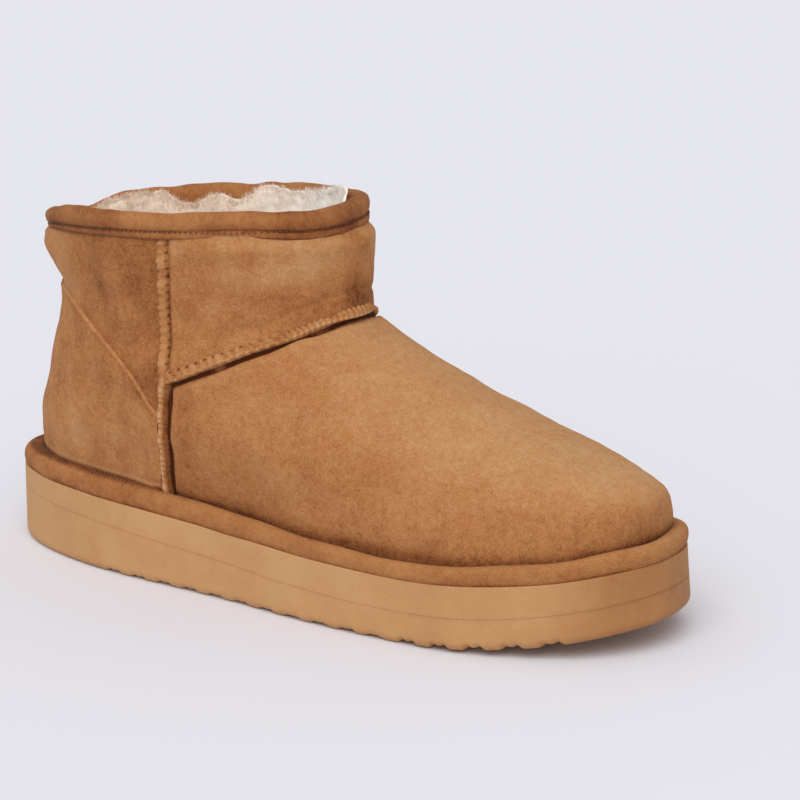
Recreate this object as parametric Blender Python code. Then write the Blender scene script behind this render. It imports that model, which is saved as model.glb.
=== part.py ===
"""An ankle-high sheepskin slipper on a platform sole, for the right foot.

It stands on its tread with the toe towards +X, the outer (lateral) side towards -Y and +Z up.
The origin is on the floor, under the middle of the shoe. All sizes are in metres.
A station is a distance along the shoe from the heel. A turn goes round the shoe's plan: 0 is the
toe, a quarter turn the medial side, a half turn the heel.
"""

import math

import bmesh
import bpy
import numpy as np
from mathutils import Vector

# Driving dimensions of the shoe.
LENGTH = 0.273  # the outsole, heel to toe
BALL_WIDTH = 0.100  # the outsole, at its widest
BALL_PLACE = 0.190  # the widest station
TOPLINE_HEIGHT = 0.1290  # the upper's rim halfway along, above the floor
WALL = 0.0070  # sheepskin with its fleece
GAP = 0.0003  # between pieces that touch
AROUND = 60  # points round each closed outline

# The sole: two foam layers that meet at a moulded line.
HEEL_STACK = 0.0275  # the sole's thickness under the heel
BALL_STACK = 0.0225  # and under the ball of the foot
TOE_SPRING = 0.0105  # rise of the tread under the toe
TOE_RISE = 0.0085  # rise of the sole's top at the toe
SPRING_START = 0.70  # share of the length where the toe begins to rise
TOE_LEAN = 0.0025  # the toe's wall leans back by this as it rises
LEAN_START = 0.200
HEEL_SEAT = 0.030  # the sole keeps its heel thickness up to here
HEEL_SQUARENESS = 2.50  # of the sole's outline, where 2 is an ellipse
TOE_SQUARENESS = 2.15
HEEL_SHARE = 0.71  # the moulded line's share of the sole's height at the heel
BALL_SHARE = 0.50  # and from the ball to the toe
WAIST_PLACE = 0.110  # where the arch draws the sides in
WAIST_SPREAD = 0.044
LATERAL_WAIST = 0.0040
MEDIAL_WAIST = 0.0070
TREAD_EDGE = (  # the rounded lower edge: inset, rise above the tread
    (0.0018, 0.0000),
    (0.0005, 0.0006),
    (0.0000, 0.0022),
)

# The tread: grooves across the sole, cut from both edges in to two plain pads.
TREAD_PITCH = 0.0120
GROOVE_DEPTH = 0.0015
GROOVE_WIDTH = 0.0080  # at the floor
GROOVE_ROOT = 0.0040  # at its bottom
FIRST_GROOVE = 0.0660
GROOVES = 16
PADS = (  # centre station, half length, half width
    (0.0540, 0.0300, 0.0230),
    (0.1780, 0.0380, 0.0290),
)

# The upper's back seam: it hollows in over the Achilles tendon.
HEEL_INSET = 0.0056
ACHILLES_HEIGHT = 0.0945
ACHILLES_DEPTH = 0.0109
ACHILLES_BELOW = 0.0420  # a long hollow below that height
ACHILLES_ABOVE = 0.0130  # and a short one above
COLLAR_LEAN = 0.0036  # the collar stands this far in front of the heel

# The upper's front: a steep toe wall, a vamp that climbs to the throat, an upright shaft.
TOE_WALL = 0.2645
TOE_ROUND = 0.0270  # how softly the wall turns into the vamp
THROAT_HEIGHT = 0.0935
THROAT_PLACE = 0.1467
VAMP_RUN = 2.30  # forward for each step down, at the throat
VAMP_BOW = 11.5  # how fast that run grows towards the toe
SHAFT_FRONT = 0.1462
SHAFT_LEAN = 0.0045  # the shaft's front leans back by this at the rim
SHAFT_LEAN_START = 0.112  # from this height up
THROAT_ROUND = 0.0040

# The last's sections, from the foot to the collar.
GIRTHS = (  # height, half width, squareness, pinch behind the widest station
    (0.028, 0.0450, 2.25, 0.00),
    (0.050, 0.0455, 2.10, 0.00),
    (0.072, 0.0410, 2.00, 0.00),
    (0.092, 0.0380, 2.00, 0.26),
    (0.128, 0.0400, 2.30, 0.28),
)
ANKLE_HEIGHT = 0.090  # from here up the sections are widest at the ankle, not the ball
ANKLE_PLACE = 0.0817
FIT_FADE = 0.038  # height over which the sole's bend fades out of the upper
TOE_SWING = 0.0020  # the toe turns in to the medial side
SWING_START = 0.160
TOPLINE_SLOPE = 0.085  # the rim climbs to the front
TOPLINE_CROWN = 0.0015  # and rises a little over each side
TOPLINE_START = 0.090  # height at which that slope begins
TOPLINE_MIDDLE = 0.0767  # the station at which the rim has its named height
FIRST_ROW = 0.0370  # height of the upper's first ring above the welt
VAMP_ROW, VAMP_ROWS = 0.0032, 18  # spacing and number of the rings over the vamp
SHAFT_ROWS = 6  # from there to the rim
RIM_WALL = 0.0040  # the fleece is shorn down where the tape wraps the rim
SHEAR_START, SHEAR_END = 0.106, 0.119  # heights between which it thins

# What trims it.
WELT_HEIGHT = 0.0078
WELT_CREASE = 0.0070  # where the welt meets the upper, above the midsole
WELT_DIP = 0.25  # the welt is lower by this share beside the ball
WELT_DIP_SPREAD = 0.055
TAPE = 0.0013  # the folded tape round the collar
TAPE_LEG = 0.0060  # how far it reaches down outside
SIDE_SEAM = 0.0917  # the counter ends at the side seams
COUNTER_THICKNESS = 0.0014
COUNTER_BACK = 0.0985  # height of its upper edge at the back seam
COUNTER_SIDE = 0.0620  # and at the side seams
COUNTER_CURVE = 3.5  # 1 is a straight fall from one to the other
COUNTER_FOOT = 0.0358
COUNTER_COLUMNS, COUNTER_ROWS = 28, 8
INSOLE_THICKNESS = 0.0060


def ease(start, end, value):
    """0 before start, 1 after end and a soft step between."""
    t = min(max((value - start) / (end - start), 0.0), 1.0)
    return t * t * (3 - 2 * t)


def bow(value, power):
    """A power that keeps the sign of its value."""
    return math.copysign(abs(value) ** power, value)


def soft_min(one, other, reach):
    """The smaller of two values, rounded off where they are closer than reach."""
    near = max(reach - abs(one - other), 0.0)
    return min(one, other) - near * near / (4 * reach)


def section(column, height):
    """One column of the last's sections at a height, on a curve that never overshoots."""
    places = np.array([row[0] for row in GIRTHS])
    values = np.array([row[column] for row in GIRTHS])
    height = min(max(height, places[0]), places[-1])
    spans = np.diff(places)
    slopes = np.diff(values) / spans
    tangents = np.concatenate(([slopes[0]], np.zeros(len(slopes) - 1), [slopes[-1]]))
    for row in range(1, len(slopes)):
        if slopes[row - 1] * slopes[row] > 0:
            tangents[row] = 2 / (1 / slopes[row - 1] + 1 / slopes[row])
    row = min(int(np.searchsorted(places, height, side="right")) - 1, len(spans) - 1)
    t = (height - places[row]) / spans[row]
    bend = spans[row] * (tangents[row] * (t - 1) ** 2 * t + tangents[row + 1] * (t - 1) * t**2)
    return values[row] + (values[row + 1] - values[row]) * t * t * (3 - 2 * t) + bend


def widest_place(height):
    """The station at which the section at a height is widest."""
    return BALL_PLACE - (BALL_PLACE - ANKLE_PLACE) * ease(HEEL_STACK, ANKLE_HEIGHT, height)


def outline(turn, back, front, widest, half, squareness):
    """A closed plan outline through its back, front and widest stations."""
    along, across = math.cos(turn), math.sin(turn)
    reach = front - widest if along > 0 else widest - back
    return widest + reach * bow(along, 2 / squareness), half * bow(across, 2 / squareness)


def waist(x, turn):
    """How far the side draws in at the arch, at a station."""
    depth = MEDIAL_WAIST if math.sin(turn) > 0 else LATERAL_WAIST
    return bow(math.sin(turn), 0.5) * depth * math.exp(-(((x - WAIST_PLACE) / WAIST_SPREAD) ** 2))


def toe_swing(x):
    """The toe's turn to the medial side, at a station."""
    return TOE_SWING * max((x - SWING_START) / (LENGTH - SWING_START), 0.0) ** 2


def toe_share(x):
    """How much of the toe's rise a station has: 0 at the ball and 1 at the tip."""
    return max((x / LENGTH - SPRING_START) / (1 - SPRING_START), 0.0) ** 2


def tread_height(x):
    return TOE_SPRING * toe_share(x)


def sole_top(x):
    thinner = (HEEL_STACK - BALL_STACK) * ease(HEEL_SEAT, BALL_PLACE, x)
    return HEEL_STACK - thinner + TOE_RISE * toe_share(x)


def parting_height(x):
    """The moulded line between the two layers of foam."""
    share = HEEL_SHARE - (HEEL_SHARE - BALL_SHARE) * ease(0.0, BALL_PLACE, x)
    return tread_height(x) + share * (sole_top(x) - tread_height(x))


def sole_edge(turn):
    """The sole's outline in plan, from the heel and the shoe's middle line."""
    squareness = TOE_SQUARENESS if math.cos(turn) > 0 else HEEL_SQUARENESS
    x, y = outline(turn, 0.0, LENGTH, BALL_PLACE, BALL_WIDTH / 2, squareness)
    return x, y - waist(x, turn) + toe_swing(x)


def sole_point(turn, inset, height_of, rise=0.0):
    """A point inset from the sole's edge, at a height that follows the sole along the shoe."""
    step = 0.002
    x, y = sole_edge(turn)
    ahead, behind = sole_edge(turn + step), sole_edge(turn - step)
    run, side = ahead[0] - behind[0], ahead[1] - behind[1]
    size = math.hypot(run, side)
    x, y = x - inset * side / size, y + inset * run / size
    # The toe's wall leans back as it rises.
    x -= TOE_LEAN * ease(LEAN_START, LENGTH, x) * height_of(x) / HEEL_STACK
    return Vector((x - LENGTH / 2, y, height_of(x) + rise))


def back_profile(height):
    above = height - ACHILLES_HEIGHT
    hollow = math.exp(-((above / (ACHILLES_ABOVE if above > 0 else ACHILLES_BELOW)) ** 2))
    lean = COLLAR_LEAN * ease(ACHILLES_HEIGHT, ACHILLES_HEIGHT + 2 * ACHILLES_ABOVE, height)
    return HEEL_INSET + ACHILLES_DEPTH * hollow + lean


def front_profile(height):
    drop = THROAT_HEIGHT - height
    vamp = THROAT_PLACE + VAMP_RUN * drop * (1 + VAMP_BOW * max(drop, 0.0) / 2)
    shaft = SHAFT_FRONT - SHAFT_LEAN * ease(SHAFT_LEAN_START, TOPLINE_HEIGHT, height)
    return -soft_min(-shaft, -soft_min(TOE_WALL, vamp, TOE_ROUND), THROAT_ROUND)


def upper_surface(turn, height):
    """The upper's outer face: a plan outline for each height."""
    back, widest = back_profile(height), widest_place(height)
    half, squareness, pinch = section(1, height), section(2, height), section(3, height)
    x, y = outline(turn, back, front_profile(height), widest, half, squareness)
    behind = max((widest - x) / (widest - back), 0.0)
    y *= 1 - pinch * behind**2
    low = 1 - ease(HEEL_STACK, HEEL_STACK + FIT_FADE, height)
    y += toe_swing(x) - low * waist(x, turn)
    z = height + low * (sole_top(x) - HEEL_STACK)
    climb = min(max((height - TOPLINE_START) / (TOPLINE_HEIGHT - TOPLINE_START), 0.0), 1.0)
    crown = TOPLINE_CROWN * abs(math.sin(turn)) ** 1.5
    z += climb * (TOPLINE_SLOPE * (x - TOPLINE_MIDDLE) + crown)
    return Vector((x - LENGTH / 2, y, z))


def upper_point(turn, height, out=0.0):
    """A point off the upper's outer face, moved out (or in, below zero) square to it."""
    step, lift = 0.01, 0.0004
    point = upper_surface(turn, height)
    around = upper_surface(turn + step, height) - upper_surface(turn - step, height)
    upward = upper_surface(turn, height + lift) - upper_surface(turn, height - lift)
    return point + around.cross(upward).normalized() * out


def foot_point(turn, out, rise):
    """A point of the upper's foot, moved out from its outer face, at a rise above the midsole."""
    point = upper_point(turn, HEEL_STACK + rise, out)
    point.z = sole_top(point.x + LENGTH / 2) + rise
    return point


def welt_share(turn):
    """The welt's height at a turn, as a share of its height at the heel."""
    return 1 - WELT_DIP * math.exp(-(((sole_edge(turn)[0] - BALL_PLACE) / WELT_DIP_SPREAD) ** 2))


def upper_rows():
    """The heights of the upper's rings, closer together over the vamp than up the shaft."""
    rows = [FIRST_ROW + VAMP_ROW * row for row in range(VAMP_ROWS)]
    step = (TOPLINE_HEIGHT - rows[-1]) / SHAFT_ROWS
    return rows + [rows[-1] + step * (row + 1) for row in range(SHAFT_ROWS)]


def wall_at(height):
    """The sheepskin's thickness, thinner at the taped rim."""
    return WALL - (WALL - RIM_WALL) * ease(SHEAR_START, SHEAR_END, height)


def ring(point_at):
    return [point_at(math.tau * step / AROUND) for step in range(AROUND)]


def paint(colour, roughness):
    material = bpy.data.materials.new("finish")
    material.use_nodes = True
    shader = material.node_tree.nodes["Principled BSDF"]
    shader.inputs["Base Color"].default_value = (*colour, 1.0)
    shader.inputs["Roughness"].default_value = roughness
    shader.inputs["Metallic"].default_value = 0.0
    return material


def solid(name, bm, material):
    """Close the mesh into a named object with its faces pointing out."""
    bmesh.ops.recalc_face_normals(bm, faces=bm.faces)
    mesh = bpy.data.meshes.new(name)
    bm.to_mesh(mesh)
    bm.free()
    mesh.shade_smooth()
    mesh.set_sharp_from_angle(angle=math.radians(40))
    mesh.materials.append(material)
    piece = bpy.data.objects.new(name, mesh)
    bpy.context.collection.objects.link(piece)
    return piece


def skin(bm, lower, upper):
    """Quads between two closed rings of the same count."""
    for here in range(len(lower)):
        there = (here + 1) % len(lower)
        bm.faces.new((lower[here], lower[there], upper[there], upper[here]))


def closed_tube(name, rings, material):
    """A hoop: every ring joins the next, and the last joins the first."""
    bm = bmesh.new()
    loops = [[bm.verts.new(point) for point in points] for points in rings]
    for lower, upper in zip(loops, loops[1:] + loops[:1]):
        skin(bm, lower, upper)
    return solid(name, bm, material)


def cap(bm, loop):
    """Close a flat or bent outline with strips straight across the shoe."""
    half = len(loop) // 2
    bm.faces.new((loop[0], loop[1], loop[-1]))
    for step in range(1, half - 1):
        bm.faces.new((loop[step], loop[step + 1], loop[-step - 1], loop[-step]))
    bm.faces.new((loop[half - 1], loop[half], loop[half + 1]))


def slab(name, rings, material):
    """A stack of rings closed at the bottom and the top."""
    bm = bmesh.new()
    loops = [[bm.verts.new(point) for point in points] for points in rings]
    for lower, upper in zip(loops, loops[1:]):
        skin(bm, lower, upper)
    cap(bm, loops[0])
    cap(bm, loops[-1])
    return solid(name, bm, material)


def pad_edge(x):
    """Half the width of the plain tread pad at a station, or 0 between the pads."""
    for centre, half_length, half_width in PADS:
        share = abs(x - centre) / half_length
        if share < 1:
            return half_width * math.sqrt(1 - share**2)
    return 0.0


def groove_cutter():
    """Wedges across the sole, one for each groove and side."""
    bm = bmesh.new()
    for groove in range(GROOVES):
        x = FIRST_GROOVE + TREAD_PITCH * groove
        floor = tread_height(x)
        inner = pad_edge(x)
        spans = ((-BALL_WIDTH, -inner), (inner, BALL_WIDTH))
        if not inner:
            spans = ((-BALL_WIDTH, BALL_WIDTH),)
        wedge = (
            (-GROOVE_WIDTH / 2, floor),
            (-GROOVE_ROOT / 2, floor + GROOVE_DEPTH),
            (GROOVE_ROOT / 2, floor + GROOVE_DEPTH),
            (GROOVE_WIDTH / 2, floor),
            (GROOVE_WIDTH / 2, -GROOVE_DEPTH),
            (-GROOVE_WIDTH / 2, -GROOVE_DEPTH),
        )
        for near, far in spans:
            ends = [
                [bm.verts.new((x + dx - LENGTH / 2, y, z)) for dx, z in wedge]
                for y in (near, far)
            ]
            skin(bm, *ends)
            bm.faces.new(ends[0])
            bm.faces.new(ends[1])
    cutter = solid("groove_cutter", bm, paint((0.5, 0.5, 0.5), 0.5))
    cutter.hide_render = True
    cutter.display_type = "WIRE"
    return cutter


def outsole(foam):
    """The lower foam layer, with a rounded tread edge and the grooves."""
    rings = [
        ring(lambda turn: sole_point(turn, inset, tread_height, rise)) for inset, rise in TREAD_EDGE
    ]
    rings.append(ring(lambda turn: sole_point(turn, 0.0, parting_height, -GAP / 2 - 0.0005)))
    rings.append(ring(lambda turn: sole_point(turn, 0.0005, parting_height, -GAP / 2)))
    piece = slab("outsole", rings, foam)
    tread = piece.modifiers.new("tread", "BOOLEAN")
    tread.operation = "DIFFERENCE"
    tread.solver = "EXACT"
    tread.object = groove_cutter()


def midsole(foam):
    """The upper foam layer, from the moulded line to the welt."""
    rings = [
        ring(lambda turn: sole_point(turn, 0.0005, parting_height, GAP / 2)),
        ring(lambda turn: sole_point(turn, 0.0, parting_height, GAP / 2 + 0.0005)),
        ring(lambda turn: sole_point(turn, 0.0, sole_top, -0.0006)),
        ring(lambda turn: sole_point(turn, 0.0006, sole_top)),
    ]
    slab("midsole", rings, foam)


def welt(tape):
    """The padded, tape-covered strip round the foot of the upper."""
    bulge = (  # inset from the sole's edge, rise above the midsole
        (0.0010, GAP),
        (0.0000, 0.0014),
        (-0.0004, 0.0034),
        (0.0002, 0.0054),
        (0.0016, 0.0071),
        (0.0032, WELT_HEIGHT),
    )
    rings = [
        ring(lambda turn: sole_point(turn, inset, sole_top, GAP + (rise - GAP) * welt_share(turn)))
        for inset, rise in bulge
    ]
    rings.append(ring(lambda turn: foot_point(turn, GAP, WELT_CREASE * welt_share(turn))))
    rings.append(ring(lambda turn: foot_point(turn, GAP, GAP)))
    closed_tube("welt", rings, tape)


def upper(suede):
    """The hollow sheepskin body, open at the collar and underneath."""
    heights = upper_rows()
    rings = [ring(lambda turn: foot_point(turn, 0.0, GAP))]
    rings.append(ring(lambda turn: foot_point(turn, 0.0, WELT_CREASE * welt_share(turn))))
    rings += [ring(lambda turn: upper_point(turn, height)) for height in heights]
    rings += [
        ring(lambda turn: upper_point(turn, height, -wall_at(height))) for height in reversed(heights)
    ]
    rings.append(ring(lambda turn: foot_point(turn, -WALL, GAP)))
    closed_tube("upper", rings, suede)


def collar_binding(tape):
    """The tape folded over the rim: a leg outside, a roll on top and a leg inside."""
    rim = upper_rows()[-1]
    outer, inner = GAP + TAPE, -(RIM_WALL + GAP + TAPE)
    fold = (  # height, out from the upper's outer face
        (rim - TAPE_LEG, GAP),
        (rim - TAPE_LEG, outer),
        (rim - 0.0010, outer),
        (rim + 0.0008, outer - 0.0007),
        (rim + 0.0016, (outer + inner) / 2),
        (rim + 0.0008, inner + 0.0007),
        (rim - 0.0010, inner),
        (rim - 0.0030, inner),
        (rim - 0.0030, -RIM_WALL - GAP),
        (rim + GAP, -RIM_WALL - GAP),
        (rim + GAP, GAP),
    )
    rings = [ring(lambda turn: upper_point(turn, height, out)) for height, out in fold]
    closed_tube("collar_binding", rings, tape)


def seam_turn(height):
    """How far round from the back seam the side seams lie, at a height."""
    widest = widest_place(height)
    share = max((widest - SIDE_SEAM) / (widest - back_profile(height)), 0.0)
    return math.acos(share ** (section(2, height) / 2))


def heel_counter(suede):
    """The overlay round the heel, cut from a skin that stands just off the upper."""
    columns, rows = COUNTER_COLUMNS, COUNTER_ROWS
    bm = bmesh.new()
    sheets = []
    for out in (2 * GAP, 2 * GAP + COUNTER_THICKNESS):
        sheet = []
        for column in range(columns + 1):
            side = 2 * column / columns - 1
            top = COUNTER_BACK - (COUNTER_BACK - COUNTER_SIDE) * abs(side) ** COUNTER_CURVE
            heights = [COUNTER_FOOT + (top - COUNTER_FOOT) * row / rows for row in range(rows + 1)]
            sheet.append(
                [
                    bm.verts.new(upper_point(math.pi + side * seam_turn(height), height, out))
                    for height in heights
                ]
            )
        sheets.append(sheet)
    for sheet in sheets:
        for left, right in zip(sheet, sheet[1:]):
            for row in range(rows):
                bm.faces.new((left[row], right[row], right[row + 1], left[row + 1]))
    inner, outer = sheets
    for edge in (0, columns):
        for row in range(rows):
            below = (inner[edge][row], outer[edge][row])
            above = (outer[edge][row + 1], inner[edge][row + 1])
            bm.faces.new(below + above)
    for row in (0, rows):
        for column in range(columns):
            here = (inner[column][row], outer[column][row])
            there = (outer[column + 1][row], inner[column + 1][row])
            bm.faces.new(here + there)
    solid("heel_counter", bm, suede)


def insole(fleece):
    """The fleece-covered footbed, just inside the upper's wall."""
    edge = (  # inset from the upper's wall, rise above the midsole
        (0.0006, GAP),
        (0.0006, INSOLE_THICKNESS - 0.0015),
        (0.0022, INSOLE_THICKNESS),
    )
    rings = [ring(lambda turn: foot_point(turn, -WALL - inset, rise)) for inset, rise in edge]
    slab("insole", rings, fleece)


def main():
    for thing in list(bpy.data.objects):
        bpy.data.objects.remove(thing, do_unlink=True)
    suede = paint((0.434, 0.195, 0.072), 0.95)
    counter_suede = paint((0.400, 0.170, 0.061), 0.95)
    tape = paint((0.305, 0.109, 0.036), 0.85)
    foam = paint((0.503, 0.275, 0.122), 0.70)
    fleece = paint((0.730, 0.610, 0.485), 1.0)
    outsole(foam)
    midsole(foam)
    welt(tape)
    upper(suede)
    heel_counter(counter_suede)
    collar_binding(tape)
    insole(fleece)


main()
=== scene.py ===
import math

import bpy
import numpy as np
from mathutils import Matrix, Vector


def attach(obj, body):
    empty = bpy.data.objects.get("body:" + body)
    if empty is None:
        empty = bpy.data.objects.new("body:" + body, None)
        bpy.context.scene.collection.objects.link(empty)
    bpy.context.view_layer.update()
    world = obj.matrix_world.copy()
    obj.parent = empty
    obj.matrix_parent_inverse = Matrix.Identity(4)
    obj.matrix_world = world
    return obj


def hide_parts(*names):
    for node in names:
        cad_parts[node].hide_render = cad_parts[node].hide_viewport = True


# An ankle-high sheepskin slipper on a foam platform, for the right foot. The toe is towards +X, the
# inner (medial) side towards +Y and +Z is up, in metres. A station is a distance from the heel. A
# turn goes round the shoe's plan: 0 is the toe, a quarter turn the medial side, a half the heel.
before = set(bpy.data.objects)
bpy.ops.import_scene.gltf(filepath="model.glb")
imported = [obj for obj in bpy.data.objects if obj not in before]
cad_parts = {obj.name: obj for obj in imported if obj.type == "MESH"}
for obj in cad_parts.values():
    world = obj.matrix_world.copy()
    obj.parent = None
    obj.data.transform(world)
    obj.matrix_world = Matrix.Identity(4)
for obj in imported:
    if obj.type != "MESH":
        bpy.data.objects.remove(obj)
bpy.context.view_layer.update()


# ------------------------------
# Outsole. The lower layer of soft foam, moulded in one shot with its rounded edge and a tread of
# shallow wedge grooves that stop short of two plain pads, under the heel and the ball of the foot.

LENGTH = 0.273
BALL_WIDTH = 0.100
BALL_PLACE = 0.190
HEEL_STACK = 0.0275
BALL_STACK = 0.0225
HEEL_SEAT = 0.030
TOE_SPRING = 0.0105
TOE_RISE = 0.0085
SPRING_START = 0.70
TOE_LEAN = 0.0025
LEAN_START = 0.200
HEEL_SQUARENESS = 2.50
TOE_SQUARENESS = 2.15
HEEL_SHARE = 0.71
BALL_SHARE = 0.50
WAIST_PLACE = 0.110
WAIST_SPREAD = 0.044
LATERAL_WAIST = 0.0040
MEDIAL_WAIST = 0.0070
TOE_SWING = 0.0020
SWING_START = 0.160
GAP = 0.0003
TREAD_PITCH = 0.0120
GROOVE_DEPTH = 0.0015
GROOVE_WIDTH = 0.0080
GROOVE_ROOT = 0.0040
FIRST_GROOVE = 0.0660
GROOVES = 16
GROOVE_RIB = 0.0011  # a low rib stands in the middle of each groove
RIB_SHARE = 0.45
PAD_SLOPE = 0.0010
FULL_GROOVES = (0.150, 0.205)  # stations over which the grooves reach their full depth
GROOVE_WAIST = 0.60  # share of the depth under the waist of the foot
PADS = (  # centre station, half length, half width
    (0.0540, 0.0300, 0.0230),
    (0.1780, 0.0380, 0.0290),
)
SOLE_AROUND = 800
TREAD_ACROSS = 40
FOAM_SHADES = (  # painted shade browns it round the toe; it is faintly darker along the moulded line
    (0.330, 0.130, 0.042), (0.440, 0.208, 0.078), (0.540, 0.292, 0.124), (0.585, 0.345, 0.162),
)
FOAM_GRAINS = (  # weight in the colour, weight in the relief, grain
    (0.16, 0, (0.034, 3.0, 0.38, 0.62)),
    (0.10, 0, (0.007, 3.0, 0.30, 0.70)),
    (0.10, 1, (0.0012, 3.0, 0.30, 0.80)),
    (0, 1, (0.0007, 2.0, 0.20, 0.80)),
)


def ease(start, end, value):
    """0 before start, 1 after end and a soft step between."""
    t = np.clip((value - start) / (end - start), 0.0, 1.0)
    return t * t * (3 - 2 * t)


def bump_at(value, middle, reach):
    """A soft hump of height 1 about a middle value."""
    return np.exp(-(((value - middle) / reach) ** 2))


def bow(value, power):
    """A power that keeps the sign of its value."""
    return np.copysign(np.abs(value) ** power, value)


def unit(vectors):
    return vectors / np.maximum(np.linalg.norm(vectors, axis=-1, keepdims=True), 1e-12)


def ripple(points, size, seed, waves=20):
    """A smooth unevenness of about unit height, from waves of one size in every direction."""
    dice = np.random.default_rng(seed)
    ways = unit(dice.normal(size=(waves, 3)))
    phases = dice.uniform(0, math.tau, waves)
    return math.sqrt(2 / waves) * np.cos(points @ ways.T * (math.tau / size) + phases).sum(-1)


def outline(turn, back, front, widest, half, squareness):
    """A closed plan outline through its back, front and widest stations."""
    along, across = np.cos(turn), np.sin(turn)
    reach = np.where(along > 0, front - widest, widest - back)
    return widest + reach * bow(along, 2 / squareness), half * bow(across, 2 / squareness)


def waist(x, turn):
    """How far the side draws in at the arch, at a station."""
    depth = np.where(np.sin(turn) > 0, MEDIAL_WAIST, LATERAL_WAIST)
    return bow(np.sin(turn), 0.5) * depth * bump_at(x, WAIST_PLACE, WAIST_SPREAD)


def toe_swing(x):
    return TOE_SWING * np.maximum((x - SWING_START) / (LENGTH - SWING_START), 0.0) ** 2


def toe_share(x):
    return np.maximum((x / LENGTH - SPRING_START) / (1 - SPRING_START), 0.0) ** 2


def tread_height(x):
    return TOE_SPRING * toe_share(x)


def sole_top(x):
    thinner = (HEEL_STACK - BALL_STACK) * ease(HEEL_SEAT, BALL_PLACE, x)
    return HEEL_STACK - thinner + TOE_RISE * toe_share(x)


def parting_height(x):
    """The moulded line between the two layers of foam."""
    share = HEEL_SHARE - (HEEL_SHARE - BALL_SHARE) * ease(0.0, BALL_PLACE, x)
    return tread_height(x) + share * (sole_top(x) - tread_height(x))


def sole_edge(turn):
    """The sole's outline in plan, from the heel and the shoe's middle line."""
    squareness = np.where(np.cos(turn) > 0, TOE_SQUARENESS, HEEL_SQUARENESS)
    x, y = outline(turn, 0.0, LENGTH, BALL_PLACE, BALL_WIDTH / 2, squareness)
    return x, y - waist(x, turn) + toe_swing(x)


def sole_point(turn, inset, height_of, rise=0.0):
    """Points inset from the sole's edge, at a height that follows the sole along the shoe."""
    step = 0.002
    x, y = sole_edge(turn)
    ahead, behind = sole_edge(turn + step), sole_edge(turn - step)
    run, side = ahead[0] - behind[0], ahead[1] - behind[1]
    size = np.hypot(run, side)
    x, y = x - inset * side / size, y + inset * run / size
    x = x - TOE_LEAN * ease(LEAN_START, LENGTH, x) * height_of(x) / HEEL_STACK
    return np.stack((x - LENGTH / 2, y, height_of(x) + rise), -1)


def groove_at(x, y):
    """How deep the tread is cut at a place under the sole."""
    number = np.clip(np.round((x - FIRST_GROOVE) / TREAD_PITCH), 0, GROOVES - 1)
    nearest = FIRST_GROOVE + TREAD_PITCH * number
    from_middle = np.abs(x - nearest)
    depth = 1 - ease(GROOVE_ROOT / 2, GROOVE_WIDTH / 2, from_middle)
    depth = depth - RIB_SHARE * bump_at(from_middle, 0, GROOVE_RIB)
    depth = depth * (GROOVE_WAIST + (1 - GROOVE_WAIST) * ease(*FULL_GROOVES, x))
    for centre, half_length, half_width in PADS:
        edge = half_width * np.sqrt(np.clip(1 - ((nearest - centre) / half_length) ** 2, 0.0, 1.0))
        depth = depth * np.where(edge > 0, ease(edge, edge + PAD_SLOPE, np.abs(y)), 1.0)
    return GROOVE_DEPTH * depth


def stations(points):
    """How far points lie from the heel."""
    return points[..., 0] + LENGTH / 2


def even_turns(count):
    return np.arange(count) * math.tau / count


def running(steps):
    """The sum so far before each step and after the last."""
    return np.concatenate(([0], np.cumsum(steps)))


def distances(path):
    """How far each point lies along a path."""
    return running(np.linalg.norm(np.diff(path, axis=0), axis=1))


def spanned(ring, rows):
    """A grid across a closed ring, from its lateral half to its medial half, with each row's share."""
    half = len(ring) // 2
    share = np.linspace(0, 1, rows + 1)[:, None]
    lateral, medial = ring[:half:-1], ring[1:half]
    return lateral + (medial - lateral) * share[..., None], share


def corners(rows, columns, ring=False):
    """The row and column of each corner of a grid's faces; ring joins its last column to its first."""
    row, column = np.meshgrid(np.arange(rows - 1), np.arange(columns - (not ring)), indexing="ij")
    row, column = row.ravel(), column.ravel()
    return (row, column), (row, column + 1), (row + 1, column + 1), (row + 1, column)


def quads(rows, columns, ring=False):
    """Faces over a grid of points that are numbered row by row."""
    return np.stack([r * columns + c % columns for r, c in corners(rows, columns, ring)], 1)


def placed(name, data):
    made = bpy.data.objects.new(name, data)
    bpy.context.scene.collection.objects.link(made)
    return made


def piece(name, points, faces, material, node, tone=None, cloth=None):
    """A finished piece of the shoe, with its tone (painted light and shade with some mottling) and its cloth
    map where it has them.
    """
    mesh = bpy.data.meshes.new(name)
    mesh.from_pydata(points.reshape(-1, 3).tolist(), [], faces.tolist())
    if cloth is not None:
        mesh.uv_layers.new(name="cloth").data.foreach_set("uv", cloth.astype(np.float32).ravel())
    if tone is not None:
        values = np.broadcast_to(tone, points.shape[:-1]).astype(np.float32).ravel()
        mesh.attributes.new("tone", "FLOAT", "POINT").data.foreach_set("value", values)
    mesh.shade_smooth()
    mesh.materials.append(material)
    made = placed(name, mesh)
    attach(made, "root")
    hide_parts(node)
    return made


def sheet(name, points, material, node, tone, ring=False, flip=False):
    """A piece over one grid of points; flip turns its faces to the other side."""
    faces = quads(*points.shape[:2], ring)
    return piece(name, points, faces[:, ::-1] if flip else faces, material, node, tone)


def blank(name, **settings):
    """A new material with its node tree and its shader, which takes its plain settings by name."""
    material = bpy.data.materials.new(name)
    material.use_nodes = True
    shader = material.node_tree.nodes["Principled BSDF"]
    for key, value in settings.items():
        shader.inputs[key.replace("_", " ")].default_value = value
    return material, material.node_tree, shader


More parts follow.
